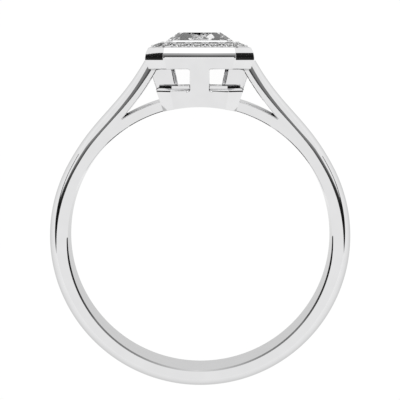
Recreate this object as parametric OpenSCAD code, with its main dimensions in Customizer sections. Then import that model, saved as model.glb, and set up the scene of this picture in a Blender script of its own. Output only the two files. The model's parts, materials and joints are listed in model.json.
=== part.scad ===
/* [Band] */
// Radius of the finger hole
finger_r = 8.45; // [8:0.05:9]
// Thickness of the band from the finger hole to its crest
band_t = 1.26; // [1.2:0.01:1.4]
// Rise of the domed outside above the band's flat sides
dome_rise = 0.65; // [0.5:0.01:0.7]
// Width of the band level with the ring's centre
band_w = 2.3; // [2:0.05:2.6]
// Width that the band loses for each millimetre toward the head
band_taper = 0.078; // [0.05:0.002:0.09]
// Thickness of the rail under the head, below its crest
rail_t = 0.81; // [0.78:0.01:0.9]
// Rise of the rail's low dome above its flat sides
rail_rise = 0.15; // [0.12:0.01:0.2]

/* [Shoulders] */
// Angle above level where the shoulders leave the round band
shoulder_angle = 28.5; // [27:0.5:30]
// Thickness of a shoulder where it stands free of the rail
shoulder_t = 1.11; // [1.05:0.01:1.15]
// Thickness of a shoulder at the head
shoulder_end_t = 0.98; // [0.94:0.01:1.04]
// Rise of the dome where a shoulder meets the head
shoulder_rise = 0.66; // [0.6:0.01:0.7]
// Side position of a shoulder's crest at the head
shoulder_x = 3.53; // [3.5:0.01:3.56]
// Direction of a shoulder's crest at the head, from level
shoulder_end_angle = 120; // [118:1:122]
// Pull of the shoulder's curve at each of its ends
shoulder_pull = 3.6; // [3.4:0.1:3.8]

/* [Gallery] */
// Half width of the gallery at its foot
foot_half = 2.62; // [2.5:0.02:2.7]
// Height of the gallery's foot above the ring's centre
foot_y = 9.13; // [9.1:0.01:9.2]
// Outward lean of the gallery's walls, in mm for each mm of height
gallery_lean = 0.33; // [0.3:0.005:0.33]
// Cut of the gallery's four corners
gallery_cut = 0.86; // [0.8:0.02:1]
// Width of the four pillars
pillar_w = 1.2; // [1:0.01:1.4]
// Height of the windows' edges at the outer face
sill_y = 9.5; // [9.4:0.01:9.6]
// Height of the windows' level sills
sill_top_y = 9.79; // [9.7:0.01:9.85]
// Distance from the wall to the level sills
sill_in = 0.16; // [0.12:0.01:0.3]
// Height of the windows' heads
lintel_y = 10.82; // [10.7:0.01:10.9]
// Half width of the open well at its foot
well_half = 1.26; // [1.2:0.01:1.45]

/* [Halo] */
// Half width of the halo plate
plate_half = 3.41; // [3.38:0.01:3.5]
// Cut of the halo plate's four corners
plate_cut = 1.17; // [1.1:0.01:1.2]
// Height of the plate's lower edge above the ring's centre
plate_y = 11.37; // [11.35:0.01:11.4]
// Height of the plate's plain upright edge
edge_h = 0.46; // [0.4:0.01:0.5]
// Height of the steep plain rim above the upright edge
rim_h = 0.26; // [0.24:0.01:0.3]
// Width of the steep plain rim
rim_w = 0.2; // [0.18:0.01:0.22]
// Height of the stone bed above the rim, at the centre stone
bed_h = 0.4; // [0.38:0.01:0.42]
// Radius of a halo stone
halo_r = 0.44; // [0.4:0.01:0.45]
// Radius of a corner stone of the halo
corner_r = 0.31; // [0.27:0.02:0.31]
// Stones along each of the halo's four sides
side_stones = 4; // [4:1:4]
// Spacing of the stones along a side
stone_pitch = 1.022; // [1:0.002:1.03]
// First stone's place along a side, from the side's middle
first_stone = -1.18; // [-1.2:0.01:-1.16]
// Place of the corner stone along the cut corner, from its middle
corner_stone_shift = 0.35; // [0.3:0.01:0.38]
// Depth of the stones' girdles below the bed
stone_sink = 0.07; // [0.05:0.01:0.08]

/* [Center stone] */
// Half width of the center stone at its girdle
stone_half = 2; // [1.95:0.01:2.05]
// Cut of the center stone's corners
stone_cut = 0.38; // [0.3:0.01:0.4]
// Half width of the center stone's table
table_half = 1.34; // [1.2:0.01:1.45]
// Height of the crown above the girdle
crown_h = 0.49; // [0.4:0.01:0.5]
// Depth of the pavilion below the girdle
pavilion_h = 2.2; // [2.1:0.05:2.3]
// Gap between a stone and its seat
seat_gap = 0.02; // [0.019:0.001:0.02]

/* [Hidden] */
halo_count = 4 * (side_stones + 1);
function halo_name(n) = str("halo_stone_", n < 10 ? "0" : "", n);

crest_r = finger_r + band_t;
edge_r = crest_r - dome_rise;
inner_reach = 0.2;
band_steps = 24;
arm_steps = 12;
rail_steps = 24;
dome_steps = 8;
sink = 0.1;
octagon_slope = 1 - tan(22.5);

stone_bed_half = stone_half + seat_gap;
wall_top_y = plate_y + edge_h;
rim_y = wall_top_y + rim_h;
rim_half = plate_half - rim_w;
bed_slope = bed_h / (rim_half - stone_bed_half);
bed_angle = atan(bed_slope);
bed_half = (rim_half + stone_bed_half) / 2;
bed_y = rim_y + bed_h / 2;
edge_tuck = 0.1;
girdle_y = rim_y + 0.48;
girdle_t = 0.04;
ledge_y = girdle_y - 0.14;
step_depth = 0.36;
step_half = 0.74;
pavilion_slope = stone_half * (1 - step_half) / (pavilion_h * step_depth);
foot_cut_y = finger_r - 0.6;
gallery_top_y = plate_y + 0.12;
gallery_top_cut = plate_cut + 0.1;

// Half the band's width at height y: both sides are flat planes that lean together toward the head
function half_width(y) = (band_w - band_taper * y) / 2;
function turn(a) = [cos(a), sin(a)];
function mix(a, b, t) = a + (b - a) * t;

// The shoulder's crest is one smooth curve, from the round band to the halo plate
arm_from = crest_r * turn(shoulder_angle);
arm_to = [shoulder_x, plate_y];
arm_from_pull = arm_from + shoulder_pull * turn(shoulder_angle + 90);
arm_to_pull = arm_to - shoulder_pull * turn(shoulder_end_angle);
function arm_point(t) =
    pow(1 - t, 3) * arm_from + 3 * pow(1 - t, 2) * t * arm_from_pull
    + 3 * (1 - t) * t * t * arm_to_pull + pow(t, 3) * arm_to;
function arm_way(t) =
    pow(1 - t, 2) * (arm_from_pull - arm_from) + 2 * (1 - t) * t * (arm_to_pull - arm_from_pull)
    + t * t * (arm_to - arm_to_pull);
function outward(way) = [way[1], -way[0]] / norm(way);

// A station is a crest point, its outward direction, the dome's rise and the depth to the inside
function band_station(a) = [crest_r * turn(a), turn(a), dome_rise, band_t + inner_reach];
function arm_depth(t) = t < 1 / 3
    ? mix(band_t + inner_reach, shoulder_t, 3 * t)
    : mix(shoulder_t, shoulder_end_t, (3 * t - 1) / 2);
function arm_station(t) =
    [arm_point(t), outward(arm_way(t)), mix(dome_rise, shoulder_rise, t), arm_depth(t)];
function rail_station(a) = [(finger_r + rail_t) * turn(a), turn(a), rail_rise, rail_t + inner_reach];
function mirrored(s) = [[-s[0][0], s[0][1]], [-s[1][0], s[1][1]], s[2], s[3]];

right_half = concat(
    [for (k = [1:band_steps]) band_station(mix(-90, shoulder_angle, k / band_steps))],
    [for (k = [1:arm_steps]) arm_station(k / arm_steps)]
);
band_stations = concat(
    [for (k = [len(right_half) - 1:-1:0]) right_half[k]],
    [band_station(-90)],
    [for (s = right_half) mirrored(s)]
);
rail_from = 36;
rail_stations = [for (k = [0:rail_steps]) rail_station(mix(180 - rail_from, rail_from, k / rail_steps))];

// A section is a domed back between flat sides; trim takes a little off its width
function section(s, trim) =
    let (
        edge = s[0] - s[2] * s[1],
        inside = s[0] - s[3] * s[1],
        w = half_width(edge[1]) - trim,
        w_in = half_width(inside[1]) - trim,
        sweep = 2 * atan2(s[2], w),
        r = w / sin(sweep)
    )
    concat(
        [[inside[0], inside[1], w_in]],
        [for (k = [0:dome_steps])
            let (u = mix(sweep, -sweep, k / dome_steps), p = s[0] - r * (1 - cos(u)) * s[1])
            [p[0], p[1], r * sin(u)]],
        [[inside[0], inside[1], -w_in]]
    );

// A closed solid through rings that all have the same number of points
module loft(rings) {
    m = len(rings[0]);
    last = len(rings) - 1;
    sides = [for (i = [0:last - 1], j = [0:m - 1])
        [i * m + j, i * m + (j + 1) % m, (i + 1) * m + (j + 1) % m, (i + 1) * m + j]];
    first_cap = [for (j = [m - 1:-1:0]) j];
    last_cap = [for (j = [0:m - 1]) last * m + j];
    polyhedron(points = [for (ring = rings) each ring], faces = concat(sides, [first_cap, last_cap]));
}

// A square with cut corners at height z
function octagon(z, half, cut) = let (q = half - cut) [
    [half, -q, z], [half, q, z], [q, half, z], [-q, half, z],
    [-half, q, z], [-half, -q, z], [-q, -half, z], [q, -half, z]
];
// Each row of levels is a height, a half width and a corner cut
module octagon_stack(levels) {
    loft([for (row = [len(levels) - 1:-1:0]) octagon(levels[row][0], levels[row][1], levels[row][2])]);
}
function plate_cut_at(half) = plate_cut - (plate_half - half) * octagon_slope;
// The gallery's walls lean outward all the way up, and its corner cuts grow with them
function gallery_half(y) = foot_half + (y - foot_y) * gallery_lean;
function gallery_cut_at(y) = mix(gallery_cut, gallery_top_cut, (y - foot_y) / (gallery_top_y - foot_y));

// Stands what is drawn along +Z on the head's axis
module toward_head() {
    rotate([-90, 0, 0]) children();
}

// The ring lies on its side: the top edge of the gallery and the foot of the band touch the surface
touch_head = [gallery_top_y, -gallery_half(gallery_top_y)];
touch_band = [-edge_r, -half_width(-edge_r)];
lie_angle = atan2(touch_band[1] - touch_head[1], touch_head[0] - touch_band[0]);
foot_half_w = half_width(-edge_r);
foot_dome_r = (pow(foot_half_w, 2) + pow(dome_rise, 2)) / (2 * dome_rise);
lowest_z = touch_band[0] * sin(lie_angle) + touch_band[1] * cos(lie_angle);
table_y = girdle_y + girdle_t + crown_h;
front_y = table_y * cos(lie_angle) + table_half * sin(lie_angle);
back_y = -(crest_r - foot_dome_r) * cos(lie_angle) - foot_dome_r;
module at_rest() {
    translate([0, -(front_y + back_y) / 2, -lowest_z]) rotate([lie_angle, 0, 0]) children();
}

module band() {
    difference() {
        loft([for (s = band_stations) section(s, 0)]);
        toward_head() octagon_stack([
            [foot_cut_y, gallery_half(foot_cut_y) - sink, gallery_cut_at(foot_cut_y)],
            [table_y, gallery_half(table_y) - sink, gallery_cut_at(table_y)]
        ]);
    }
}

module under_rail() {
    loft([for (s = rail_stations) section(s, sink / 4)]);
}

// A slab that keeps its corners as far inside the gallery's corners as its sides are inside the walls
function slab_cut(y, half) = gallery_cut_at(y) - (gallery_half(y) - half) * octagon_slope;
// Everything from the stepped sill to the level lintel, left whole at the four pillars
module windows() {
    outer = gallery_half(lintel_y) + 2 * sill_in;
    inner = gallery_half(sill_y) - sill_in;
    difference() {
        octagon_stack([
            [sill_y, outer, slab_cut(sill_y, outer)],
            [lintel_y, outer, slab_cut(sill_y, outer)]
        ]);
        octagon_stack([
            [sill_y - 2 * sink, inner, slab_cut(sill_y, inner)],
            [sill_top_y, inner, slab_cut(sill_y, inner)]
        ]);
        cube([pillar_w, 4 * outer, 4 * plate_y], center = true);
        cube([4 * outer, pillar_w, 4 * plate_y], center = true);
    }
}

module gallery() {
    toward_head() difference() {
        octagon_stack([
            [foot_cut_y, gallery_half(foot_cut_y), gallery_cut_at(foot_cut_y)],
            [gallery_top_y, gallery_half(gallery_top_y), gallery_top_cut]
        ]);
        windows();
    }
}

module halo_plate() {
    top_half = stone_bed_half - sink;
    toward_head() octagon_stack([
        [plate_y, plate_half - edge_tuck, plate_cut_at(plate_half - edge_tuck)],
        [gallery_top_y, plate_half - edge_tuck * 0.3, plate_cut_at(plate_half - edge_tuck * 0.3)],
        [wall_top_y - edge_tuck, plate_half, plate_cut],
        [wall_top_y, plate_half, plate_cut],
        [rim_y, rim_half, plate_cut_at(rim_half)],
        [rim_y + (rim_half - top_half) * bed_slope, top_half, plate_cut_at(top_half)]
    ]);
}

module finger_hole() {
    cylinder(r = finger_r, h = 4 * plate_half, center = true, $fn = 180);
}

// The well under the center stone is open from the finger hole up to the stone's ledge
module stone_well() {
    bearing = stone_half - (girdle_y - ledge_y) * pavilion_slope + 1.5 * seat_gap;
    toward_head() {
        octagon_stack([
            [foot_cut_y - 1, well_half, gallery_cut * 0.4],
            [foot_y, well_half, gallery_cut * 0.4],
            [ledge_y, bearing, plate_cut_at(bearing)],
            [ledge_y + sink, bearing, plate_cut_at(bearing)]
        ]);
        octagon_stack([
            [ledge_y, stone_bed_half, plate_cut_at(stone_bed_half)],
            [table_y, stone_bed_half, plate_cut_at(stone_bed_half)]
        ]);
    }
}

// Puts a stone's girdle on the sloping bed: four a side, then one at the cut corner
module at_halo_place(n) {
    side = floor((n - 1) / (side_stones + 1));
    slot = (n - 1) % (side_stones + 1);
    at_corner = slot == side_stones;
    along = at_corner ? corner_stone_shift : first_stone + slot * stone_pitch;
    out = at_corner ? (2 * bed_half - plate_cut_at(bed_half)) / sqrt(2) : bed_half;
    toward_head() rotate([0, 0, 90 * side + (at_corner ? 45 : 0)])
        translate([along, -out, bed_y])
            rotate([bed_angle, 0, 0])
                translate([0, 0, -stone_sink])
                    children();
}
function halo_radius(n) = (n % (side_stones + 1)) == 0 ? corner_r : halo_r;

module halo_seats() {
    for (n = [1:halo_count]) {
        r = halo_radius(n) + seat_gap;
        depth = 0.86 * r;
        at_halo_place(n) {
            translate([0, 0, -0.1 * r]) cylinder(r = r, h = halo_r, $fn = 48);
            translate([0, 0, -0.1 * r - depth]) cylinder(r1 = 0.02, r2 = r, h = depth, $fn = 48);
        }
    }
}

module mounting() {
    color("gainsboro") at_rest() difference() {
        union() {
            band();
            under_rail();
            gallery();
            halo_plate();
        }
        finger_hole();
        stone_well();
        halo_seats();
    }
}

// A square stone with cut corners: table, two crown steps, girdle, three pavilion steps
module center_stone() {
    low = girdle_y - pavilion_h;
    color("white") at_rest() toward_head() octagon_stack([
        [low, 0.06, 0.02],
        [mix(girdle_y, low, 0.7), stone_half * 0.42, stone_cut * 0.42],
        [mix(girdle_y, low, step_depth), stone_half * step_half, stone_cut * step_half],
        [girdle_y, stone_half, stone_cut],
        [girdle_y + girdle_t, stone_half, stone_cut],
        [girdle_y + girdle_t + crown_h * 0.55, mix(stone_half, table_half, 0.45), stone_cut * 0.85],
        [table_y, table_half, stone_cut * 0.7]
    ]);
}

// A round stone: an eight sided table, a sixteen sided girdle and a pointed pavilion
function ring_of(count, r, z, from) = [for (k = [0:count - 1]) let (a = from + 360 * k / count)
    [r * cos(a), r * sin(a), z]];
module round_stone(r) {
    points = concat(
        ring_of(8, 0.57 * r, 0.3 * r, 0),
        ring_of(16, r, 0, 0),
        ring_of(16, r, -0.05 * r, 0),
        [[0, 0, -0.86 * r]]
    );
    faces = concat(
        [[for (k = [7:-1:0]) k]],
        [for (k = [0:7]) [k, (k + 1) % 8, 8 + 2 * k + 1]],
        [for (k = [0:7]) [k, 8 + 2 * k + 1, 8 + 2 * k]],
        [for (k = [0:7]) [(k + 1) % 8, 8 + (2 * k + 2) % 16, 8 + 2 * k + 1]],
        [for (k = [0:15]) [8 + k, 8 + (k + 1) % 16, 24 + (k + 1) % 16, 24 + k]],
        [for (k = [0:15]) [24 + k, 24 + (k + 1) % 16, 40]]
    );
    polyhedron(points = points, faces = faces);
}

module halo_stone(n) {
    color("white") at_rest() at_halo_place(n) round_stone(halo_radius(n));
}

mounting();
center_stone();
for (n = [1:halo_count]) {
    halo_stone(n);
}
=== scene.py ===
# %% [markdown]
# # A halo ring in polished white metal
#
# This lesson dresses a finger ring: a domed band whose shoulders sweep up to the head, a pierced gallery,
# and a halo of small stones around one cut-corner square stone. The exact solids come first, as a frame
# that never moves. Each step then builds the finer piece that shows in a picture.

# %% Load the ring's solids
import math
import bmesh
import bpy
from mathutils import Matrix, Vector
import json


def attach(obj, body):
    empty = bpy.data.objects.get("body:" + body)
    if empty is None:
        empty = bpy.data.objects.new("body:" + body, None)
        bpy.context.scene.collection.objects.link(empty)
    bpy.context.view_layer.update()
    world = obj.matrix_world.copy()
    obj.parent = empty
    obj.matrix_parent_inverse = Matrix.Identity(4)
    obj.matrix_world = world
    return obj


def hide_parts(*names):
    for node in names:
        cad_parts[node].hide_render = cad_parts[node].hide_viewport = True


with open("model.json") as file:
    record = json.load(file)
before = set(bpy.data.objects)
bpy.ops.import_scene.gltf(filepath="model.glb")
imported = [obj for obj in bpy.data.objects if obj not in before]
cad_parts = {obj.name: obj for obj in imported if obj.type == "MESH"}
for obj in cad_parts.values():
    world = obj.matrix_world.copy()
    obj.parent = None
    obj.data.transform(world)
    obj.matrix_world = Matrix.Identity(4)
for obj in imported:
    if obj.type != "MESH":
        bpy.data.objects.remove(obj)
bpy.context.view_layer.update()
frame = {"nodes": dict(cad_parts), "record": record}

print("solids in the frame:", len(frame["nodes"]))

# %% [markdown]
# ## The ring's own axes
#
# The ring lies on its side, so its axes lean a little against the scene's. A jeweller thinks in the ring's
# own axes: X across, Y from the finger toward the stone, Z along the finger, all in millimetres from the
# ring's centre. Everything is drawn that way and moved into place at the end, so that the numbers stay
# readable and Blender's modifiers work at a comfortable size.

# %% Find the ring's axes from its finger hole
finger_hole = frame["record"]["mounts"][0]
finger_way = Vector(finger_hole["axis"]).normalized()
across_way = Vector((1, 0, 0))
head_way = finger_way.cross(across_way)
turned = Matrix((across_way, head_way, finger_way)).transposed().to_4x4()
ring_axes = Matrix.Translation(finger_hole["pos_m"]) @ turned
millimetres_in_place = ring_axes @ Matrix.Scale(0.001, 4)
print("the ring leans by", round(math.degrees(math.acos(finger_way.z)), 2), "degrees")

# %% [markdown]
# Every piece of the ring is a mesh made from points and faces. Two small helpers turn those into a mesh with
# its faces outward and put it in the scene.

# %% Make a piece from points and faces
scene = bpy.context.scene


def new_piece(name, mesh):
    made = bpy.data.objects.new(name, mesh)
    scene.collection.objects.link(made)
    return made


def skin_mesh(name, points, faces):
    """A mesh with its faces turned outward."""
    mesh = bpy.data.meshes.new(name)
    mesh.from_pydata(points, [], faces)
    work = bmesh.new()
    work.from_mesh(mesh)
    bmesh.ops.recalc_face_normals(work, faces=work.faces)
    work.to_mesh(mesh)
    work.free()
    return mesh


print("pieces go into:", scene.collection.name)

# %% [markdown]
# ## Helpers for drawing rings of points
#
# A band, a shoulder and a halo plate are all lofts: one closed outline after another, joined by faces. Two
# small helpers do that work. The first joins the outlines. The second softens chosen corners of an outline,
# because a polished edge is never quite sharp and its tiny round is what catches the light.

# %% Join outlines into a skin
def loft(outlines, closed=False):
    """Points and faces through outlines of equal length. A closed loft joins the last one to the first."""
    count = len(outlines[0])
    points = [point for outline in outlines for point in outline]
    steps = len(outlines) if closed else len(outlines) - 1
    faces = []
    for row in range(steps):
        after = (row + 1) % len(outlines)
        for k in range(count):
            k_next = (k + 1) % count
            faces.append((row * count + k, row * count + k_next, after * count + k_next, after * count + k))
    if not closed:
        faces.append(tuple(range(count)))
        faces.append(tuple(range((len(outlines) - 1) * count, len(outlines) * count)))
    return points, faces


trial_square = [Vector(corner) for corner in ((1, 1), (-1, 1), (-1, -1), (1, -1))]
print("faces of a cube as a loft:", len(loft([trial_square, trial_square])[1]))

# %% Soften the corners of an outline
def soften(outline, cut_backs, steps=4):
    """Rounds some corners: cut_backs gives a corner's place in the outline and how far it is cut back."""
    rounded = []
    for place, corner in enumerate(outline):
        if place not in cut_backs:
            rounded.append(corner)
            continue
        before = outline[place - 1]
        after = outline[(place + 1) % len(outline)]
        start = corner + (before - corner).normalized() * cut_backs[place]
        end = corner + (after - corner).normalized() * cut_backs[place]
        for k in range(steps + 1):
            t = k / steps
            rounded.append(start * (1 - t) ** 2 + corner * (2 * t * (1 - t)) + end * t * t)
    return rounded


print("points on a square with one soft corner:", len(soften(trial_square, {0: 0.1})))

# %% [markdown]
# ## The band and its shoulders
#
# The band has a domed back, two flat sides that lean together toward the head, and a straight inside for the
# finger. Above the middle it leaves the finger's circle and sweeps up on a smooth curve to the halo. A curve
# with a bevel shape would be quicker, but its cross-section couldn't change on the way. So one loft makes it
# all, from the left shoulder's end down round the finger to the right one's. A station on the way holds the
# point on the crest, the direction outward, how far the dome rises and how deep the metal is.

# %% The band's measures
finger_r = 8.45
band_t = 1.26
dome_rise = 0.65
band_w = 2.3
band_taper = 0.078
crest_r = finger_r + band_t


def half_width(y):
    """Half the band's width at height y."""
    return (band_w - band_taper * y) / 2


def turn(degrees):
    return Vector((math.cos(math.radians(degrees)), math.sin(math.radians(degrees))))


def mix(a, b, t):
    return a + (b - a) * t


foot_w = 2 * half_width(-crest_r)
print("band:", round(2 * crest_r, 2), "mm across and", round(foot_w, 2), "mm wide at the foot")

# %% The shoulder's curve
shoulder_angle = 28.5
shoulder_t = 1.11
shoulder_end_t = 0.98
shoulder_rise = 0.66
shoulder_x = 3.53
shoulder_end_angle = 120
shoulder_pull = 3.6
plate_y = 11.37
curve_from = crest_r * turn(shoulder_angle)
curve_to = Vector((shoulder_x, plate_y))
pull_from = curve_from + shoulder_pull * turn(shoulder_angle + 90)
pull_to = curve_to - shoulder_pull * turn(shoulder_end_angle)


def shoulder_point(t):
    """The crest at a share of the way up the shoulder."""
    u = 1 - t
    return u ** 3 * curve_from + 3 * u * u * t * pull_from + 3 * u * t * t * pull_to + t ** 3 * curve_to


def shoulder_outward(t):
    """The direction away from the finger there."""
    u = 1 - t
    way = u * u * (pull_from - curve_from) + 2 * u * t * (pull_to - pull_from) + t * t * (curve_to - pull_to)
    return Vector((way.y, -way.x)).normalized()


def shoulder_depth(t):
    """How deep the shoulder's metal is there. It thins on the way up."""
    if t < 1 / 3:
        return mix(band_t + 0.2, shoulder_t, 3 * t)
    return mix(shoulder_t, shoulder_end_t, (3 * t - 1) / 2)


print("the shoulder rises from", round(curve_from.y, 2), "to", round(curve_to.y, 2), "mm above the centre")

# %% The rail that closes the finger hole under the head
rail_t = 0.81
rail_rise = 0.15
rail_edge_r = finger_r + rail_t - rail_rise


def depth_to_finger(point, outward):
    """How deep below the crest the finger hole's wall lies."""
    along = point.dot(outward)
    return along - math.sqrt(max(0.0, along * along - point.length_squared + finger_r ** 2))


def fork_place():
    """Where along the shoulder its inside rises clear of the rail's edge."""
    for k in range(1001):
        t = k / 1000
        if (shoulder_point(t) - shoulder_depth(t) * shoulder_outward(t)).length > rail_edge_r:
            return t
    return 1.0


fork = fork_place()
print("the shoulder parts from the rail at", round(fork, 3), "of its way")

# %% Stations from one shoulder's end to the other's
band_steps = 64
shoulder_steps = 44


def band_station(degrees):
    return crest_r * turn(degrees), turn(degrees), dome_rise, band_t


def shoulder_station(t, joined):
    point = shoulder_point(t)
    outward = shoulder_outward(t)
    depth = depth_to_finger(point, outward) if joined else shoulder_depth(t)
    return point, outward, mix(dome_rise, shoulder_rise, t), depth


def mirrored(station):
    point, outward, rise, depth = station
    return Vector((-point.x, point.y)), Vector((-outward.x, outward.y)), rise, depth


right_half = [band_station(mix(-90, shoulder_angle, k / band_steps)) for k in range(1, band_steps + 1)]
before_fork = [k / shoulder_steps for k in range(1, shoulder_steps + 1) if k / shoulder_steps < fork - 0.005]
after_fork = [k / shoulder_steps for k in range(1, shoulder_steps + 1) if k / shoulder_steps > fork + 0.005]
right_half += [shoulder_station(t, True) for t in before_fork + [fork]]
right_half += [shoulder_station(t, False) for t in [fork + 0.0005] + after_fork]
stations = [mirrored(s) for s in reversed(right_half)] + [band_station(-90)] + right_half
print("stations along the band:", len(stations))

# %% [markdown]
# Each station gets a cross-section. The polisher leaves a tiny round where the dome meets the flat sides, and
# a narrow flat cut where those sides meet the finger hole. A mirror that narrow shows as one thin line, so
# the cut's lean matters more than its width. It is steep beside the finger and flatter toward the foot, and
# so the same dark arch over the ring shows all the way round.

# %% The cut edge of the finger hole
finger_edge_w = 0.105
thin_share = 0.45
widens_from = -5
widens_over = 15
lean_beside = 46
lean_from = 4
lean_below = 28
lean_turn = 50
lean_at_foot = 24.5


def edge_lean(below_middle):
    """The cut's lean in degrees, at an angle below the middle of the ring."""
    if below_middle < lean_turn:
        share = max(0.0, below_middle - lean_from) / (lean_turn - lean_from)
        return mix(lean_beside, lean_below, share)
    return mix(lean_below, lean_at_foot, (below_middle - lean_turn) / (90 - lean_turn))


def finger_edge(corner, on_wall, on_side):
    """Two points that cut a corner at the finger hole. The cut widens below the middle of the ring."""
    below_middle = math.degrees(math.atan2(-corner.y, abs(corner.x)))
    share = min(1.0, max(0.0, (below_middle - widens_from) / widens_over))
    cut_w = finger_edge_w * mix(thin_share, 1.0, share)
    wall_depth = cut_w * math.tan(math.radians(edge_lean(below_middle)))
    wall_point = corner + (on_wall - corner).normalized() * wall_depth
    side_point = corner + (on_side - corner).normalized() * cut_w
    return wall_point, side_point


print("the cut leans", edge_lean(0), "degrees beside the finger and", edge_lean(90), "at the foot")

# %% One cross-section of the band
dome_steps = 24
edge_soft = 0.045


def cross_section(station, trim=0.0):
    """The closed outline at a station: straight inside, flat sides, domed back, with softened edges."""
    point, outward, rise, depth = station
    edge = point - rise * outward
    inside = point - depth * outward
    w = half_width(edge.y) - trim
    w_inside = half_width(inside.y) - trim
    sweep = 2 * math.atan2(rise, w)
    dome_r = w / math.sin(sweep)
    outline = [Vector((inside.x, inside.y, w_inside))]
    for k in range(dome_steps + 1):
        u = mix(sweep, -sweep, k / dome_steps)
        back = point - dome_r * (1 - math.cos(u)) * outward
        outline.append(Vector((back.x, back.y, dome_r * math.sin(u))))
    outline.append(Vector((inside.x, inside.y, -w_inside)))
    last = len(outline) - 1
    rounded = soften(outline, {1: edge_soft, last - 1: edge_soft})
    wall_start, side_start = finger_edge(outline[0], outline[last], outline[1])
    wall_end, side_end = finger_edge(outline[last], outline[0], outline[last - 1])
    return [wall_start, side_start] + rounded[1:-1] + [side_end, wall_end]


band_mesh = skin_mesh("band", *loft([cross_section(s) for s in stations]))
print("band faces:", len(band_mesh.polygons))

# %% [markdown]
# The rail is a low domed arch under the head, between the two forks. It sinks a few thousandths of a
# millimetre below the band's skin where the two overlap, so that no two surfaces fight for the same place.

# %% Loft the rail
rail_steps = 72
rail_from = 37
hair = 0.004


def rail_station(degrees):
    return (finger_r + rail_t) * turn(degrees), turn(degrees), rail_rise, rail_t - hair


rail_stations = [rail_station(mix(180 - rail_from, rail_from, k / rail_steps)) for k in range(rail_steps + 1)]
rail_mesh = skin_mesh("rail", *loft([cross_section(s, hair) for s in rail_stations]))
print("rail faces:", len(rail_mesh.polygons))

# %% [markdown]
# ## Cutting one solid with another
#
# The gallery is filed from a block: a tapering eight-sided body, hollow down the middle, with windows that
# wrap round its corners. Its walls lean outward up to a small filed edge, which catches the light just under
# the halo plate. Cutting simple flat-faced solids from one another gives exact faces and true edges. The
# cutters are thrown away afterwards.

# %% Cut with Blender's exact solver
def keep_result(body):
    """Keeps what the modifiers made as the body's own mesh."""
    bpy.context.view_layer.update()
    shown = body.evaluated_get(bpy.context.evaluated_depsgraph_get())
    result = bpy.data.meshes.new_from_object(shown)
    body.modifiers.clear()
    body.data = result


def cut_away(body, cutters):
    """Cuts the body with one cutter after another and throws the cutters away."""
    for cutter in cutters:
        step = body.modifiers.new("cut", "BOOLEAN")
        step.operation = "DIFFERENCE"
        step.solver = "EXACT"
        step.object = cutter
    keep_result(body)
    for cutter in cutters:
        bpy.data.objects.remove(cutter)


# %% Outlines with cut corners
plate_half = 3.41
plate_cut = 1.17
corner_share = 1 - math.tan(math.radians(22.5))


def cut_corner_square(y, half, cut, soft=0.0):
    """A square with cut corners at height y. Its upright edges can be softened."""
    flat = half - cut
    corners = [
        (half, -flat), (half, flat), (flat, half), (-flat, half),
        (-half, flat), (-half, -flat), (-flat, -half), (flat, -half),
    ]
    outline = [Vector((x, y, z)) for x, z in corners]
    if soft:
        return soften(outline, {k: soft for k in range(8)}, steps=3)
    return outline


def plate_cut_at(half):
    return plate_cut - (plate_half - half) * corner_share


def cut_corner_block(name, levels):
    """An eight-sided solid through levels of height, half width and corner cut."""
    return new_piece(name, skin_mesh(name, *loft([cut_corner_square(*level) for level in levels])))


print("halo plate:", 2 * plate_half, "mm square, with", plate_cut, "mm cut off along each side of a corner")

# %% The gallery's block and its well
foot_half = 2.62
foot_y = 9.13
gallery_lean = 0.337
gallery_cut = 0.86
gallery_top_y = plate_y + 0.2
upper_edge_h = 0.055
upper_edge_in = 0.023
gallery_edge_y = gallery_top_y - upper_edge_h
gallery_top_cut = plate_cut + 0.1
well_half = 1.26
ledge_y = 12.43
bearing = 1.94


def gallery_half(y):
    """Half the gallery's width at height y: its walls lean outward all the way up."""
    return foot_half + (y - foot_y) * gallery_lean


def gallery_cut_at(y):
    """How far the gallery's corners are cut at height y."""
    return mix(gallery_cut, gallery_top_cut, (y - foot_y) / (gallery_top_y - foot_y))


def well_half_at(y):
    """Half the well's width at height y."""
    return mix(well_half, bearing, (y - foot_y) / (ledge_y - foot_y))


block_foot_y = finger_r - 0.6
gallery = cut_corner_block("gallery", [
    (block_foot_y, gallery_half(block_foot_y), gallery_cut_at(block_foot_y)),
    (gallery_edge_y, gallery_half(gallery_edge_y), gallery_top_cut),
    (gallery_top_y, gallery_half(gallery_edge_y) - upper_edge_in, gallery_top_cut),
])
well = cut_corner_block("well", [
    (finger_r - 1.6, well_half, gallery_cut * 0.4),
    (foot_y, well_half, gallery_cut * 0.4),
    (ledge_y, bearing, plate_cut_at(bearing)),
])
print("gallery:", round(2 * gallery_half(gallery_top_y), 2), "mm square at the top")

# %% The finger hole's cutter
hole_steps = 512
hole_reach = 6


def circle_points(count, radius, z, start=0.0):
    """Points on a circle at height z along the circle's own axis."""
    ways = [turn(start + 360 * k / count) for k in range(count)]
    return [Vector((radius * way.x, radius * way.y, z)) for way in ways]


finger_wall = [circle_points(hole_steps, finger_r, z) for z in (-hole_reach, hole_reach)]
finger_cutter = new_piece("finger", skin_mesh("finger", *loft(finger_wall)))
print("points round the finger hole:", hole_steps)

# %% [markdown]
# The windows wrap round the gallery's corners. Below them the wall ends in a rounded bevel, a small step and
# a level sill, and above them the lintel is level too. What stays between the windows are four pillars. The
# file leaves a round where a pillar meets the sill and the lintel, and a few narrow cuts along its inner
# edges. So the window cutter is a slab all round, with four pillar shapes kept out of it.

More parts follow.
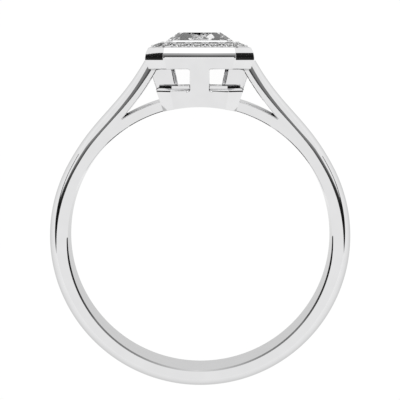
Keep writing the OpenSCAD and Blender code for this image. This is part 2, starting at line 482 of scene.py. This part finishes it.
# %% The slab between the sill and the lintel
pillar_w = 1.2
sill_y = 9.385
sill_top_y = 9.79
lintel_y = 10.82
reach = 1.3
bevel_line = [
    # height, and how far in from the wall's foot line at the sill
    Vector((sill_y, -reach)),
    Vector((sill_y, 0.0)),
    Vector((sill_y + 0.1, 0.0)),
    Vector((sill_y + 0.2, 0.08)),
    Vector((sill_y + 0.2, 0.16)),
    Vector((sill_top_y, 0.16)),
    Vector((sill_top_y, 2.2)),
]
sill_rounds = {2: 0.03, 3: 0.03, 5: 0.02}
sill_line = [(p.x, gallery_half(sill_y) - p.y) for p in soften(bevel_line, sill_rounds, steps=3)]
lintel_line = [(lintel_y, gallery_half(lintel_y) - 2.6), (lintel_y, gallery_half(lintel_y) + reach)]


def slab_cut(y, half):
    """The corner cut that keeps the slab's corners as far from the wall as its sides."""
    return max(0.05, gallery_cut_at(y) - (gallery_half(y) - half) * corner_share)


slab_levels = [(y, half, slab_cut(min(y, sill_y), half)) for y, half in sill_line]
slab_levels += [(y, half, slab_cut(y, half)) for y, half in lintel_line]
slab_outlines = [cut_corner_square(*level) for level in slab_levels]
slab = new_piece("slab", skin_mesh("slab", *loft(slab_outlines, closed=True)))
print("levels of the window cutter:", len(slab_levels))

# %% A pillar with rounds at its foot and top
foot_round = 0.2
top_round = 0.14
inner_round = 0.05
past_window = 0.4
past_wall = 4.6
behind_wall = 2.75
inner_edge = [
    # distance out from the well's wall, and how much the pillar is narrowed there
    (0.9, 0.0),
    (0.2, 0.0),
    (0.165, 0.035),
    (0.035, 0.085),
    (0.0, 0.12),
    (-0.3, 0.42),
]


def quarter(centre, radius, start, end, steps=6):
    """Points on part of a circle, as (across, up) pairs."""
    return [Vector(centre) + radius * turn(mix(start, end, k / steps)) for k in range(steps + 1)]


def pillar_side(low_y, low_round, high_round):
    """The pillar's right edge as (across, up), from below its foot to above its top."""
    half = pillar_w / 2
    low = quarter((half + low_round, low_y + low_round), low_round, 270, 180)
    high = quarter((half + high_round, lintel_y - high_round), high_round, 180, 90)
    below = Vector((half + low_round, low_y - past_window))
    above = Vector((half + high_round, lintel_y + past_window))
    return [below] + low + high + [above]


def both_sides(edge):
    """A right edge and its mirror image as one closed outline."""
    return edge + [Vector((-point.x, point.y)) for point in reversed(edge)]


def pillar(quarter_turn):
    """The metal kept at the middle of one side. Its inner upright edges are cut back."""
    outlines = []
    for z in (past_wall, behind_wall):
        shape = both_sides(pillar_side(sill_y, foot_round, top_round))
        outlines.append([Vector((p.x, p.y, z)) for p in shape])
    for away, narrower in inner_edge:
        edge = [p - Vector((narrower, 0)) for p in pillar_side(sill_top_y, inner_round, inner_round)]
        outlines.append([Vector((p.x, p.y, well_half_at(p.y) + away)) for p in both_sides(edge)])
    made = new_piece("pillar", skin_mesh("pillar", *loft(outlines)))
    made.data.transform(Matrix.Rotation(math.radians(90 * quarter_turn), 4, "Y"))
    return made


cut_away(slab, [pillar(k) for k in range(4)])
print("window cutter faces:", len(slab.data.polygons))

# %% Cut the gallery and break its edges
edge_flat_w = 0.03
sharp_edge = 45


def break_edges(body, width, sharper_than):
    """A narrow flat along every edge sharper than some degrees."""
    step = body.modifiers.new("broken edges", "BEVEL")
    step.width = width
    step.segments = 1
    step.limit_method = "ANGLE"
    step.angle_limit = math.radians(sharper_than)
    # each short edge of the file's rounds would otherwise stop the flats from reaching their width
    step.use_clamp_overlap = False
    keep_result(body)


cut_away(gallery, [well, slab, finger_cutter])
break_edges(gallery, edge_flat_w, sharp_edge)
print("gallery faces:", len(gallery.data.polygons))

# %% [markdown]
# ## The halo plate
#
# The plate is a thick eight-sided frame. From below it has a nearly upright wall, a steep plain rim, a bed
# that slopes up toward the centre stone, a low collar round that stone, and inside it a ledge on which the
# pavilion rests. It could be cut from a block like the gallery, but its profile changes at many heights, so
# one loft runs round the profile and closes on itself.

# %% Loft the plate
wall_top_y = plate_y + 0.49
rim_y = wall_top_y + 0.29
rim_half = 3.21
bed_h = 0.4
stone_bed_half = 2.02
bed_slope = bed_h / (rim_half - stone_bed_half)
bed_top_y = rim_y + bed_h
collar_half = stone_bed_half + 0.11
collar_top_y = bed_top_y + 0.06
corner_soft = 0.03
wall_foot_h = 0.015
wall_foot_in = 0.01
wall_straight_h = 0.08
wall_bend_h = 0.41
wall_bend_in = 0.063
wall_bend_steps = 12


def wall_half(y):
    """The wall's gently rounded profile: upright below, leaning in a little more toward the top."""
    up = max(0.0, (y - plate_y - wall_straight_h) / wall_bend_h)
    down = max(0.0, (plate_y + wall_foot_h - y) / wall_foot_h)
    return plate_half - wall_bend_in * up * up - wall_foot_in * down * down


wall_steps = [plate_y, plate_y + wall_foot_h]
for k in range(wall_bend_steps + 1):
    wall_steps.append(plate_y + wall_straight_h + wall_bend_h * k / wall_bend_steps)
wall_levels = [(y, wall_half(y)) for y in wall_steps]
plate_profile = wall_levels + [
    (rim_y - 0.03, rim_half + 0.014),
    (rim_y, rim_half - 0.01),
    (rim_y + 0.03 * bed_slope, rim_half - 0.05),
    (rim_y + (rim_half - collar_half) * bed_slope, collar_half),
    (collar_top_y - 0.025, collar_half - 0.04),
    (collar_top_y, collar_half - 0.065),
    (collar_top_y, stone_bed_half),
    (ledge_y, stone_bed_half),
    (ledge_y, bearing),
    (plate_y, bearing - 0.25),
]
plate_outlines = [cut_corner_square(y, half, plate_cut_at(half), corner_soft) for y, half in plate_profile]
plate = new_piece("plate", skin_mesh("plate", *loft(plate_outlines, closed=True)))
print("plate profile points:", len(plate_profile))

# %% [markdown]
# The halo's stones lie on the sloping bed, four along each side and a smaller one at each cut corner. A
# setter drills a seat for each with a pointed drill, so here too one cutter's shape serves every place. Each
# place is a matrix that moves the cutter and later the stone too, and so every stone fits its seat.

# %% Places of the halo's stones
side_stones = 4
stone_pitch = 1.022
first_stone = -1.18
corner_stone_shift = 0.35
stone_sink = 0.07
halo_r = 0.44
corner_r = 0.31
seat_gap = 0.02
bed_half = (rim_half + stone_bed_half) / 2
bed_y = rim_y + bed_h / 2
bed_angle = math.atan(bed_slope)


def bed_place(side, along, at_corner=False, lift=0.0):
    """A place on the sloping bed: side 0 faces +Z, and along runs toward the next side."""
    out = (2 * bed_half - plate_cut_at(bed_half)) / math.sqrt(2) if at_corner else bed_half
    angle = math.radians(-(90 * side + (45 if at_corner else 0)))
    stand = Matrix.Rotation(math.radians(-90), 4, "X")
    around = Matrix.Rotation(angle, 4, "Z")
    on_bed = Matrix.Translation((along, -out, bed_y)) @ Matrix.Rotation(bed_angle, 4, "X")
    return stand @ around.inverted() @ on_bed @ Matrix.Translation((0, 0, lift))


def halo_place(number):
    """Where a halo stone sits: the last of every five is the one at a corner."""
    side, slot = divmod(number - 1, side_stones + 1)
    at_corner = slot == side_stones
    along = corner_stone_shift if at_corner else first_stone + slot * stone_pitch
    return bed_place(side, along, at_corner, -stone_sink)


def halo_radius(number):
    return corner_r if number % (side_stones + 1) == 0 else halo_r


halo_count = 4 * (side_stones + 1)
print("halo stones:", halo_count)

# %% Drill the seats
seat_steps = 40


def seat_cutter(number):
    """The drill's shape at a stone's place, a little wider than the stone."""
    r = halo_radius(number) + seat_gap
    # radius and height: the drill's point, its cone, a short straight wall and a little flare at the bed
    levels = [(0.02, -0.96 * r), (r, -0.1 * r), (r, 0.03), (r + 0.05, 0.12), (r + 0.06, 0.5)]
    outlines = [circle_points(seat_steps, radius, z) for radius, z in levels]
    made = new_piece("seat", skin_mesh("seat", *loft(outlines)))
    made.data.transform(halo_place(number))
    return made


cut_away(plate, [seat_cutter(n) for n in range(1, halo_count + 1)])
print("plate faces:", len(plate.data.polygons))

# %% [markdown]
# ## Grains
#
# A setter raises a tiny bead of metal on each side of every stone and pushes it over the edge. These grains
# hold the stones and give the halo its sparkle between them. They are made as small spheres, a little
# flattened, because nothing finer shows at their size. The centre stone is held by a stronger rounded claw
# at each cut corner.

# %% Raise the grains and the corner claws
stone_half = 2.0
stone_cut = 0.38
grain_r = 0.085
grain_out = 0.33
grain_lift = 0.015
grain_height_share = 0.8
claw_r = 0.13
claw_height_share = 1.1
claw_past_stone = 0.02
claw_lift = 0.02


def bead(place, radius, height_share):
    """A small sphere at a place, made lower or taller by a share of its height."""
    work = bmesh.new()
    bmesh.ops.create_uvsphere(work, u_segments=16, v_segments=10, radius=radius)
    bmesh.ops.scale(work, verts=work.verts, vec=(1, 1, height_share))
    bmesh.ops.transform(work, matrix=place, verts=work.verts)
    for face in work.faces:
        face.smooth = True
    mesh = bpy.data.meshes.new("bead")
    work.to_mesh(mesh)
    work.free()
    return mesh


beads = []
for side in range(4):
    for gap in range(-1, side_stones):
        along = first_stone + (gap + 0.5) * stone_pitch
        for step in (-grain_out, grain_out):
            place = bed_place(side, along, lift=grain_lift) @ Matrix.Translation((0, step, 0))
            beads.append(bead(place, grain_r, grain_height_share))
claw_out = (2 * stone_half - stone_cut) / math.sqrt(2) + claw_past_stone
for side in range(4):
    upright = Matrix.Rotation(math.radians(-90), 4, "X")
    to_corner = Matrix.Rotation(math.radians(90 * side + 45), 4, "Z")
    place = upright @ to_corner @ Matrix.Translation((0, -claw_out, bed_top_y + claw_lift))
    beads.append(bead(place, claw_r, claw_height_share))
print("beads of metal:", len(beads))

# %% [markdown]
# ## One mounting
#
# The soldered parts become one object, which stands for the solid mounting. Curved skins are shaded smooth
# and every real edge stays crisp. Weighted normals keep the broad flat sides flat beside their narrow
# rounds, which matters on a mirror polish.

# %% Join the metal
def join_meshes(name, meshes):
    whole = bmesh.new()
    for mesh in meshes:
        whole.from_mesh(mesh)
    joined = bpy.data.meshes.new(name)
    whole.to_mesh(joined)
    whole.free()
    return joined


def crisp(mesh, degrees):
    """Smooth shading, with the edges sharper than this kept."""
    for face in mesh.polygons:
        face.use_smooth = True
    mesh.set_sharp_from_angle(angle=math.radians(degrees))


crisp(band_mesh, 16)
crisp(rail_mesh, 30)
crisp(gallery.data, 8)
crisp(plate.data, 12)
metal = join_meshes("ring_mounting", [band_mesh, rail_mesh, gallery.data, plate.data] + beads)
for spent in (gallery, plate):
    bpy.data.objects.remove(spent)
mounting = new_piece("ring_mounting", metal)
weights = mounting.modifiers.new("flat sides", "WEIGHTED_NORMAL")
weights.keep_sharp = True
keep_result(mounting)
mounting.data.transform(millimetres_in_place)
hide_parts("mounting")
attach(mounting, "root")
print("mounting triangles, about:", sum(len(face.vertices) - 2 for face in mounting.data.polygons))

# %% [markdown]
# ## Cut stones
#
# A cut stone is convex, so it is fully given by its corner points: the hull around them has exactly its
# facets. Points that lie in one plane share a facet, and the hull's triangles there are merged. The round
# stones follow the usual brilliant pattern of table, star, kite and girdle facets above, and long narrow
# facets below.

# %% A convex stone from its points
facet_bend = 0.4


def cut_stone(name, points):
    """The hull round the points, with the triangles of each flat facet merged."""
    work = bmesh.new()
    for point in points:
        work.verts.new(point)
    bmesh.ops.convex_hull(work, input=work.verts)
    bmesh.ops.dissolve_limit(work, angle_limit=math.radians(facet_bend), verts=work.verts, edges=work.edges)
    bmesh.ops.recalc_face_normals(work, faces=work.faces)
    mesh = bpy.data.meshes.new(name)
    work.to_mesh(mesh)
    work.free()
    return mesh


print("triangles that bend by less than", facet_bend, "degrees share a facet")

# %% Round brilliants in the halo
stone_spin = 11


def brilliant_points(r):
    """Table, crown, both edges of the girdle, pavilion and point, for a stone of radius r."""
    return (
        circle_points(8, 0.56 * r, 0.3 * r)
        + circle_points(8, 0.79 * r, 0.178 * r, 22.5)
        + circle_points(16, 0.998 * r, 0.0)
        + circle_points(16, r, -0.05 * r)
        + circle_points(8, 0.3 * r, -0.638 * r, 22.5)
        + [Vector((0, 0, -0.86 * r))]
    )


halo_stones = []
for number in range(1, halo_count + 1):
    mesh = cut_stone(f"halo_gem_{number:02d}", brilliant_points(halo_radius(number)))
    spin = Matrix.Rotation(math.radians(stone_spin), 4, "Z")
    mesh.transform(millimetres_in_place @ halo_place(number) @ spin)
    gem = new_piece(mesh.name, mesh)
    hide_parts(f"halo_stone_{number:02d}")
    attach(gem, "root")
    halo_stones.append(gem)
print("facets on a halo stone:", len(halo_stones[0].data.polygons))

# %% [markdown]
# The centre stone is a square with cut corners. Step facets would show broad bands of light, but the real
# one breaks into many small flashes, so its crown and pavilion are cut in triangles that meet along each
# side, like a brilliant's.

# %% The centre stone's facets
girdle_y = rim_y + 0.44
girdle_t = 0.04
table_half = 1.34
crown_h = 0.47
pavilion_h = 2.2
table_y = girdle_y + girdle_t + crown_h


def four_times(points):
    """The same points on each of the four sides."""
    return [Matrix.Rotation(math.radians(90 * side), 3, "Y") @ point for side in range(4) for point in points]


def row_of(count, reach_out, y, z, bulge=0.0):
    """Points along one side at a height, the middle ones pushed out a little to make facets of their own."""
    row = []
    for k in range(count):
        x = mix(-reach_out, reach_out, k / (count - 1))
        row.append(Vector((x, y, z + bulge * (1 - (x / reach_out) ** 2))))
    return row


flat_table = table_half - stone_cut * 0.7
flat_girdle = stone_half - stone_cut
girdle_top = girdle_y + girdle_t
upper_crown_y = mix(girdle_top, table_y, 0.62)
upper_crown_half = mix(stone_half, table_half, 0.62) + 0.02
lower_crown_y = mix(girdle_top, table_y, 0.3)
lower_crown_half = mix(stone_half, table_half, 0.3) + 0.015
side_points = (
    # points in the row, half the row's length, height, distance out, and how far its middle is pushed out
    row_of(2, flat_table, table_y, table_half)
    + row_of(3, flat_table * 0.98, upper_crown_y, upper_crown_half, 0.035)
    + row_of(4, flat_girdle * 0.9, lower_crown_y, lower_crown_half, 0.05)
    + row_of(5, flat_girdle, girdle_top, stone_half, 0.012)
    + row_of(5, flat_girdle, girdle_y, stone_half, 0.012)
    + row_of(4, 1.2, girdle_y - 0.5, 1.66, 0.05)
    + row_of(3, 0.85, girdle_y - 1.05, 1.2, 0.04)
    + row_of(2, 0.36, girdle_y - 1.65, 0.66)
    + [Vector((0.0, girdle_y - pavilion_h, 0.05))]
)
center_mesh = cut_stone("center_gem", four_times(side_points))
center_mesh.transform(millimetres_in_place)
center_gem = new_piece("center_gem", center_mesh)
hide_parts("center_stone")
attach(center_gem, "root")
print("facets on the centre stone:", len(center_mesh.polygons))

# %% [markdown]
# ## Finishes
#
# The metal is white gold under bright rhodium. Its colour hardly varies, but no polish is perfect: faint
# clouds of slightly softer gloss and hair-fine wheel marks keep it from looking like plain glass. Both come
# from noise in the object's own space, at the size of the real marks.

# %% White metal with a mirror polish
def finish_node(tree, kind, **values):
    """A node in a finish's tree, with some of its settings."""
    made = tree.nodes.new(kind)
    for key, value in values.items():
        setattr(made, key, value)
    return made


def bare_finish(name):
    """A new finish with one shader and nothing else, its tree and that shader."""
    made = bpy.data.materials.new(name)
    made.use_nodes = True
    made.node_tree.nodes.clear()
    tree = made.node_tree
    out = finish_node(tree, "ShaderNodeOutputMaterial")
    shader = finish_node(tree, "ShaderNodeBsdfPrincipled")
    tree.links.new(shader.outputs["BSDF"], out.inputs["Surface"])
    return made, tree, shader


def cloud_noise(tree, scale, detail):
    """Soft clouds in the object's own space."""
    place = finish_node(tree, "ShaderNodeTexCoord")
    made = finish_node(tree, "ShaderNodeTexNoise")
    made.inputs["Scale"].default_value = scale
    made.inputs["Detail"].default_value = detail
    tree.links.new(place.outputs["Object"], made.inputs["Vector"])
    return made


def close_tones(tree, source, low, high):
    """Two tones close together that follow the clouds."""
    ramp = finish_node(tree, "ShaderNodeValToRGB")
    ramp.color_ramp.elements[0].position = 0.35
    ramp.color_ramp.elements[0].color = (*low, 1)
    ramp.color_ramp.elements[1].position = 0.65
    ramp.color_ramp.elements[1].color = (*high, 1)
    tree.links.new(source.outputs["Fac"], ramp.inputs["Fac"])
    return ramp


def gloss_between(tree, source, low, high):
    """A roughness between two values that follows the clouds."""
    spread = finish_node(tree, "ShaderNodeMapRange")
    spread.inputs["To Min"].default_value = low
    spread.inputs["To Max"].default_value = high
    tree.links.new(source.outputs["Fac"], spread.inputs["Value"])
    return spread


def mirror_polish():
    """White gold under rhodium: two close tones, and gloss and marks at their real size in metres."""
    made, tree, shader = bare_finish("polished white metal")
    shader.inputs["Metallic"].default_value = 1.0
    shader.inputs["Specular Tint"].default_value = (0.7, 0.7, 0.7, 1)
    clouds = cloud_noise(tree, 900, 3)
    tone = close_tones(tree, clouds, (0.75, 0.75, 0.755), (0.77, 0.77, 0.775))
    tree.links.new(tone.outputs["Color"], shader.inputs["Base Color"])
    gloss = gloss_between(tree, clouds, 0.015, 0.05)
    tree.links.new(gloss.outputs["Result"], shader.inputs["Roughness"])
    wheel_marks = cloud_noise(tree, 26000, 2)
    bump = finish_node(tree, "ShaderNodeBump")
    bump.inputs["Strength"].default_value = 0.02
    bump.inputs["Distance"].default_value = 0.000002
    tree.links.new(wheel_marks.outputs["Fac"], bump.inputs["Height"])
    tree.links.new(bump.outputs["Normal"], shader.inputs["Normal"])
    return made


white_metal = mirror_polish()
mounting.data.materials.append(white_metal)
print("metal finish:", white_metal.name)

# %% [markdown]
# The stones are colourless and bend light far more than glass does, which is what makes their facets flash.
# From any one place a few facets of a real stone turn the light away and look black. Here cells of about a
# facet's size are painted to stand in for those dark flashes: about a sixth of them are painted black, as
# painted shade and dark reflection, and the rest are clear.

# %% Colourless stones
# the share of cells painted black as dark flashes, a painted reflection of dark surroundings
painted_black_share = 0.17


def painted_dark_flashes(tree, scale, shift):
    """Painted dark flashes: cells of a facet's size, a few painted black and the rest clear."""
    place = finish_node(tree, "ShaderNodeTexCoord")
    moved = finish_node(tree, "ShaderNodeMapping")
    moved.inputs["Location"].default_value = shift
    cells = finish_node(tree, "ShaderNodeTexVoronoi")
    cells.inputs["Scale"].default_value = scale
    tree.links.new(place.outputs["Generated"], moved.inputs["Vector"])
    tree.links.new(moved.outputs["Vector"], cells.inputs["Vector"])
    parts = finish_node(tree, "ShaderNodeSeparateColor")
    tree.links.new(cells.outputs["Color"], parts.inputs["Color"])
    ramp = finish_node(tree, "ShaderNodeValToRGB")
    ramp.color_ramp.interpolation = "CONSTANT"
    ramp.color_ramp.elements[0].color = (0, 0, 0, 1)
    ramp.color_ramp.elements[1].position = painted_black_share
    ramp.color_ramp.elements[1].color = (1, 1, 1, 1)
    tree.links.new(parts.outputs["Red"], ramp.inputs["Fac"])
    return ramp


def gem_finish(name, scale, shift):
    """A clear stone that bends light strongly, with dark flashes painted black into some facet-sized cells.
    """
    made, tree, shader = bare_finish(name)
    shader.inputs["Transmission Weight"].default_value = 1.0
    shader.inputs["IOR"].default_value = 2.42
    shader.inputs["Roughness"].default_value = 0.0
    shader.inputs["Specular IOR Level"].default_value = 0.15
    # the black cells go into the base colour: painted dark flashes, not the stone's own colour
    cells = painted_dark_flashes(tree, scale, shift)
    tree.links.new(cells.outputs["Color"], shader.inputs["Base Color"])
    return made


# both stone finishes carry painted dark flashes in their base colour
center_finish = gem_finish("colourless centre stone", 7, (0.7, 0.4, 0.9))
halo_finish = gem_finish("colourless halo stones", 3.5, (1.25, 0.0, 0.9))
center_gem.data.materials.append(center_finish)
for gem in halo_stones:
    gem.data.materials.append(halo_finish)
print("gem finishes:", center_finish.name, "and", halo_finish.name)

# %% [markdown]
# ## A pale table
#
# Polished metal has no look of its own: it shows the room. A jewellery photographer puts the ring on a pale
# lit table under a soft white dome, so that most of it looks light. The floor is such a table. It glows by
# itself, which keeps the ground even and almost white whatever stands on it.

# %% The table
table_w = 3.0
table_below = 0.00003


def flat_card(name, width, depth, matrix):
    """A plain rectangle that belongs to the studio and not to the ring."""
    x = width / 2
    y = depth / 2
    mesh = bpy.data.meshes.new(name)
    mesh.from_pydata([(-x, -y, 0), (x, -y, 0), (x, y, 0), (-x, y, 0)], [], [(0, 1, 2, 3)])
    made = new_piece(name, mesh)
    made.matrix_world = matrix
    return made


def table_finish():
    """A dull surface that glows almost white by itself."""
    made, tree, shader = bare_finish("pale table")
    shader.inputs["Roughness"].default_value = 0.9
    shader.inputs["Emission Strength"].default_value = 0.975
    shader.inputs["Emission Color"].default_value = (1, 1, 1, 1)
    tone = close_tones(tree, cloud_noise(tree, 3, 2), (0.018, 0.018, 0.018), (0.024, 0.024, 0.024))
    tree.links.new(tone.outputs["Color"], shader.inputs["Base Color"])
    return made


floor = flat_card("floor", table_w, table_w, Matrix.Translation((0, 0, -table_below)))
floor.data.materials.append(table_finish())
print("the table is", table_w, "m square")

# %% [markdown]
# ## Dark cards out of sight
#
# A ring lit from all sides would be white on white. Dark cards round it give the domed edges their crisp dark
# lines. A polished dome squeezes the whole room into those lines, so the place of a card decides where a line
# runs. The cards don't show to the camera and cast no shade. They only show in what the metal and the stones
# mirror. One glowing finish serves them all, because it reads its tones from the mesh.

# %% A finish for the cards
card_away = 0.09


def card_tones():
    """A glow as bright as the mesh's own tone at each place. Without a tone a card is black."""
    made = bpy.data.materials.new("card tones")
    made.use_nodes = True
    tree = made.node_tree
    tree.nodes.clear()
    out = finish_node(tree, "ShaderNodeOutputMaterial")
    glow = finish_node(tree, "ShaderNodeEmission")
    tone = finish_node(tree, "ShaderNodeAttribute", attribute_name="tone")
    tree.links.new(tone.outputs["Fac"], glow.inputs["Strength"])
    tree.links.new(glow.outputs["Emission"], out.inputs["Surface"])
    return made


def only_mirrored(card):
    """Hides a card from the camera, and from shade and soft light."""
    card.visible_camera = False
    card.visible_shadow = False
    card.visible_diffuse = False


card_finish = card_tones()
print("cards stand", card_away * 1000, "mm from the ring's centre")

# %% [markdown]
# The curved cards stand on a sphere round the ring's centre. Each is given by rows: its low and high edge at
# an azimuth, and its tones from low to high. Between two rows everything is read off in proportion, so a few
# rows describe a long card whose edge bends.

# %% Curved cards on a sphere
card_steps_up = 16


def row_at(rows, azimuth):
    """A card's edges and tones at an azimuth, read between its rows."""
    for low, high in zip(rows, rows[1:]):
        if low[0] <= azimuth <= high[0]:
            t = (azimuth - low[0]) / (high[0] - low[0])
            tones = [mix(a, b, t) for a, b in zip(low[3], high[3])]
            return mix(low[1], high[1], t), mix(low[2], high[2], t), tones
    return rows[-1][1:]


def tone_across(tones, share):
    """A card's tone at a share of the way from its low edge to its high edge."""
    low, middle, high = tones
    return mix(low, middle, 2 * share) if share < 0.5 else mix(middle, high, 2 * share - 1)


def curved_card(name, rows, start, end, steps):
    """A card on a sphere round the ring, the same on both sides of the head."""
    points = []
    tones_there = []
    for step in range(steps + 1):
        azimuth = mix(start, end, step / steps)
        low, high, tones = row_at(rows, azimuth if azimuth <= 90 else 180 - azimuth)
        flat_way = turn(azimuth)
        for k in range(card_steps_up + 1):
            e = math.radians(mix(low, high, k / card_steps_up))
            way = Vector((math.cos(e) * flat_way.x, math.cos(e) * flat_way.y, math.sin(e)))
            points.append(ring_axes @ (way * card_away))
            tones_there.append(tone_across(tones, k / card_steps_up))
    faces = []
    for step in range(steps):
        for k in range(card_steps_up):
            a = step * (card_steps_up + 1) + k
            faces.append((a, a + 1, a + card_steps_up + 2, a + card_steps_up + 1))
    mesh = bpy.data.meshes.new(name)
    mesh.from_pydata(points, [], faces)
    tone = mesh.attributes.new("tone", "FLOAT", "POINT")
    for k, value in enumerate(tones_there):
        tone.data[k].value = value
    mesh.materials.append(card_finish)
    made = new_piece(name, mesh)
    only_mirrored(made)
    return made


print("steps from a card's low edge to its high edge:", card_steps_up)

# %% [markdown]
# Four curved cards are enough. A dark hoop arches over the ring from side to side and draws the lines along
# the shoulders and the finger hole's edge, and its tones shade the halo's front wall. A low flag on each side
# darkens the halo's corners. A brighter light in front of the head lifts the rim. Last, a narrow black strip
# lies on the table a little past the head and gives the stones some contrast.

# %% Dark hoop, side flags, head light and table strip
hoop_rows = [
    # azimuth, low edge and high edge in degrees round the ring's centre, then the tones from low to high
    (-12, -10, -2, (0.04, 0.01, 0.01)),
    (-6.3, -10, 7, (0.04, 0.01, 0.01)),
    (-1.3, -10, 12, (0.03, 0.01, 0.01)),
    (9.5, -10, 23, (0.02, 0.01, 0.02)),
    (11, 3, 24, (0.1, 0.02, 0.04)),
    (19.7, 13, 34, (0.15, 0.03, 0.04)),
    (32, 18.5, 47, (0.4, 0.14, 0.02)),
    (36, 28, 60, (0.3, 0.2, 0.0)),
    (40, 35, 67, (0.26, 0.22, 0.0)),
    (45, 38, 71, (0.24, 0.22, 0.0)),
    (60, 46, 77, (0.35, 0.22, 0.0)),
    (90, 52, 78, (1.0, 0.24, 0.0)),
]
flag_rows = [
    (2, -5, 3, (0.01, 0.01, 0.01)),
    (10, -5, 3, (0.01, 0.01, 0.01)),
    (16, -5, 2.4, (0.01, 0.01, 0.01)),
    (22, -6, 0.8, (0.02, 0.02, 0.02)),
    (28, -6, 0.8, (0.02, 0.02, 0.02)),
]
light_rows = [
    (68, 14, 50, (1.5, 1.5, 1.5)),
    (90, 14, 52, (1.5, 1.5, 1.5)),
]
cards = [
    curved_card("dark hoop", hoop_rows, -12, 192, 136),
    curved_card("right flag", flag_rows, 2, 28, 12),
    curved_card("left flag", flag_rows, 152, 178, 12),
    curved_card("head light", light_rows, 68, 112, 12),
]
strip_w = 0.024
strip_depth = 0.004
strip = flat_card("table strip", strip_w, strip_depth, Matrix.Translation((0, 0.021, 0.0001)))
strip.data.materials.append(card_finish)
only_mirrored(strip)
print("cards out of sight:", len(cards) + 1)

# %% [markdown]
# A dome of even white light stands round everything. It is the plainest light there is, and it leaves all the
# drawing on the metal to the cards.

# %% Soft dome of light
world = bpy.data.worlds.new("soft dome")
scene.world = world
world.use_nodes = True
dome_light = world.node_tree.nodes["Background"]
dome_light.inputs["Color"].default_value = (1, 1, 1, 1)
scene.view_settings.view_transform = "Standard"
print("dome strength:", dome_light.inputs["Strength"].default_value)

# %% [markdown]
# ## The camera
#
# The ring is photographed along its finger hole with a long lens, level with its head and very little from
# the right, so that a sliver of the inside shows at the foot of the band. The camera is placed in the ring's
# own axes, where a few numbers say it all.

# %% Camera
picture_px = 400
focal_px = 1430.8
camera_data = bpy.data.cameras.new("camera")
camera_data.sensor_width = 36
camera_data.lens = focal_px / picture_px * camera_data.sensor_width
camera_data.clip_start = 0.001
camera = new_piece("camera", camera_data)
eye = Vector((0.0, 0.011603, 0.091865))
look_down = math.radians(5.728)
from_the_right = math.radians(0.65)
round_the_ring = Matrix.Rotation(from_the_right, 4, "Y")
aim = Matrix.Translation(eye) @ Matrix.Rotation(-look_down, 4, "X")
camera.matrix_world = ring_axes @ round_the_ring @ aim
scene.camera = camera
print("camera height above the floor:", round(camera.matrix_world.translation.z * 1000, 1), "mm")

# %% [markdown]
# ## Finish

# %% Finish
import json
